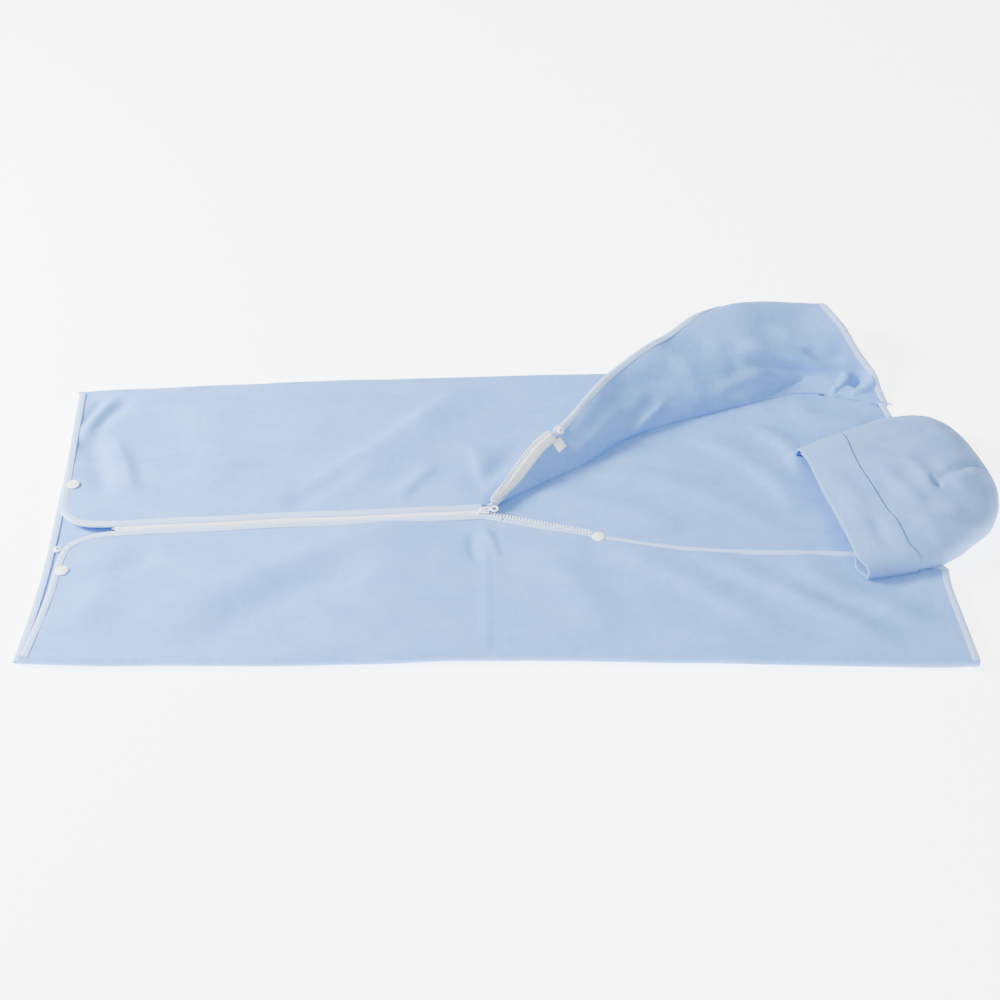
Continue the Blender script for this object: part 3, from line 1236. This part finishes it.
def capGrid(start, end, columns, steps, draw=0.0):
    # Rings from one distance to another, from the mouth (0) to the tip. The mouth lies nearly
    # closed and opens towards the near side, where the cuff rolls over.
    x = (start + (end - start) * np.linspace(0, 1, columns) ** 0.9)[:, None]
    turn = np.linspace(0, 2 * np.pi, steps)[None] + 0 * x
    x = x + 0 * turn
    half, high = capValue(x, capSizes["halves"]) - draw, capValue(x, capSizes["heights"])
    c, r = np.cos(turn), np.sin(turn)
    y = capValue(x, capSizes["middles"]) + half * np.sign(c) * np.abs(c) ** 0.86
    nearEnd = smooth((-y - 62) / 34)
    mouth = 1 - smooth(x / 95)
    lower = mouth * (1 - nearEnd) * (high - 10) * 0.62
    rise = np.where(r > 0, np.abs(r) ** 0.56, 0)
    z = lower * np.abs(r) ** 0.5 + (high - lower - draw) * rise
    top = np.clip(r, 0, 1) ** 0.5
    z = z + top * (foldHeight(x, y, capFolds) + 1.2 * softNoise(x, y, 40, 61)
                   + 0.5 * softNoise(x, y, 16, 62))
    z = z + np.where(r > 0, 0, draw)
    # the mouth and the seam lean with the cap
    mouthShift = 8 * smooth((y - 20) / 90) - 6 * smooth(-y / 60) + 9 * smooth((-y - 84) / 22)
    seamShift = 11 * smooth((y - 40) / 80) - 3 + 9 * smooth((-85 - y) / 20)
    mouthShift = mouthShift + np.where(r < 0, 7.0 * (1 - nearEnd) * np.abs(r) ** 0.4, 0)
    share = np.clip(x / cuffDepth, 0, 1)
    past = np.clip((x - cuffDepth) / (crownEnd - cuffDepth), 0, 1)
    x = x + mouthShift * (1 - share) + seamShift * share * (1 - past)
    px = capX + x * np.cos(capTurn) - y * np.sin(capTurn)
    py = capY + x * np.sin(capTurn) + y * np.cos(capTurn)
    # it rests on the near flap, and sags to the back cloth beyond that flap's edge
    rest = 14.2 - 8.2 * smooth((py + 80) / 34)
    return np.stack([px, py, rest + np.maximum(z, draw)], -1)


def tube(name, outer, inner, material, tip):
    # A cloth tube with its own wall: the outer grid, then the inner one, joined at the mouth,
    # and at the far rim unless it is closed by its tip.
    n, m = outer.shape[:2]
    outer, inner = outer[:, :-1], inner[:, :-1]
    m -= 1
    verts = np.concatenate([outer.reshape(-1, 3), inner.reshape(-1, 3)])
    low = n * m
    i, j = np.meshgrid(np.arange(n - 1), np.arange(m), indexing="ij")
    a, b = (i * m + j).ravel(), (i * m + (j + 1) % m).ravel()
    skin = np.stack([a, a + m, b + m, b], -1)
    faces = skin[:, ::-1].tolist() + (skin + low).tolist()
    k = np.arange(m)
    n1 = (k + 1) % m
    faces += np.stack([k, k + low, n1 + low, n1], -1).tolist()
    end = (n - 1) * m
    if tip:
        faces += [list(range(end, end + m)), list(range(end + low, end + low + m))[::-1]]
    else:
        faces += np.stack([end + k, end + n1, end + n1 + low, end + k + low], -1).tolist()
    return makeMesh(name, verts, faces, material)


steps = 161
cuff = tube("cap_cuff", capGrid(0, cuffDepth, 34, steps), capGrid(0, cuffDepth, 34, steps, 2.8),
            capCloth, False)
crown = tube("cap_crown", capGrid(cuffDepth + 0.4, crownEnd, 110, steps, 1.0),
             capGrid(cuffDepth + 0.4, crownEnd - 3, 110, steps, 3.2), capCloth, True)
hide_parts("cap_cuff_upper", "cap_cuff_lower")
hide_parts("cap_crown_upper", "cap_crown_lower")
print("cap made")

# Which body each piece moves with
# The flap's blend runs square to its hinge, from just inside the drawn crease to well past it.
for made in (flapCloth, flapBinding, flapTeeth, flapCord, flapTape, flapStop, label,
             studs["head_stud"], studs["head_stud_cap"]):
    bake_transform(made)
for made in (nearCloth, nearOpenBinding, nearOpenTeeth, nearOpenCord, nearOpenTape, nearStop,
             studs["head_snap_cap"], studs["head_snap_socket"]):
    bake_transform(made)
for made in (farCloth, backCloth, farBinding, nearBinding, backFootBinding, backHeadBinding,
             farTape, nearTape, farCord, nearCord, bottomStop, *teethPieces):
    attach(made, "bag")
for name, made in studs.items():
    if not name.startswith("head"):
        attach(made, "bag")
for made in (sliderTop, sliderBridge, sliderUnder):
    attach(made, "zip_slider")
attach(pull, "pull")
for made in (cuff, crown):
    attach(made, "cap")

# Floor, light and camera
floorMaterial, floorTree, floorShader, _ = newMaterial("plain pale floor")
floorShader.inputs["Base Color"].default_value = colour("#ffffff")
floorShader.inputs["Roughness"].default_value = 1.0
floorShader.inputs["Specular IOR Level"].default_value = 0.0
floorShader.inputs["Emission Color"].default_value = colour("#ffffff")
floorShader.inputs["Emission Strength"].default_value = 4.5
floorReach = 20000.0
floor = makeMesh("floor", floorReach * np.array([(-1, -1, 0), (1, -1, 0), (1, 1, 0), (-1, 1, 0)]),
                 [(0, 1, 2, 3)], floorMaterial)

world = bpy.data.worlds.new("soft white room")
scene.world = world
world.use_nodes = True
world.node_tree.nodes["Background"].inputs[0].default_value = colour("#fbfcff")
world.node_tree.nodes["Background"].inputs[1].default_value = 0.8


def softLight(name, place, target, size, power):
    lamp = bpy.data.lights.new(name, "AREA")
    lamp.shape = "SQUARE"
    lamp.size = size
    lamp.energy = power
    holder = bpy.data.objects.new(name, lamp)
    holder.location = place
    holder.rotation_euler = (Vector(target) - Vector(place)).to_track_quat("-Z", "Y").to_euler()
    scene.collection.objects.link(holder)


softLight("key", (-2.05, 0.25, 1.25), (-0.1, 0.0, 0), 0.7, 225)
softLight("fill", (0.4, -1.9, 2.2), (0, 0, 0), 1.6, 45)

cameraSettings = {
    "pitch": 45,  # degrees, as are yaw and roll
    "yaw": 2.2,
    "roll": 0.75,
    "aim": (0.011, 0.018, 0),
    "height": 1.285,
    "lens": 54.29,
    "sensor": 36,
}
pitch, yaw, roll = (np.radians(cameraSettings[key]) for key in ("pitch", "yaw", "roll"))
ahead = np.array([np.sin(yaw) * np.cos(pitch), np.cos(yaw) * np.cos(pitch), -np.sin(pitch)])
right = np.array([np.cos(yaw), -np.sin(yaw), 0])
above = np.cross(right, ahead)
levelRight, levelAbove = right, above
right = levelRight * np.cos(roll) + levelAbove * np.sin(roll)
above = levelAbove * np.cos(roll) - levelRight * np.sin(roll)
place = np.array(cameraSettings["aim"]) - ahead * cameraSettings["height"] / np.sin(pitch)
lens = bpy.data.cameras.new("camera")
lens.lens = cameraSettings["lens"]
lens.sensor_width = cameraSettings["sensor"]
camera = bpy.data.objects.new("camera", lens)
scene.collection.objects.link(camera)
turned = np.eye(4)
turned[:3, 0], turned[:3, 1], turned[:3, 2], turned[:3, 3] = right, above, -ahead, place
camera.matrix_world = Matrix(turned.tolist())
scene.camera = camera
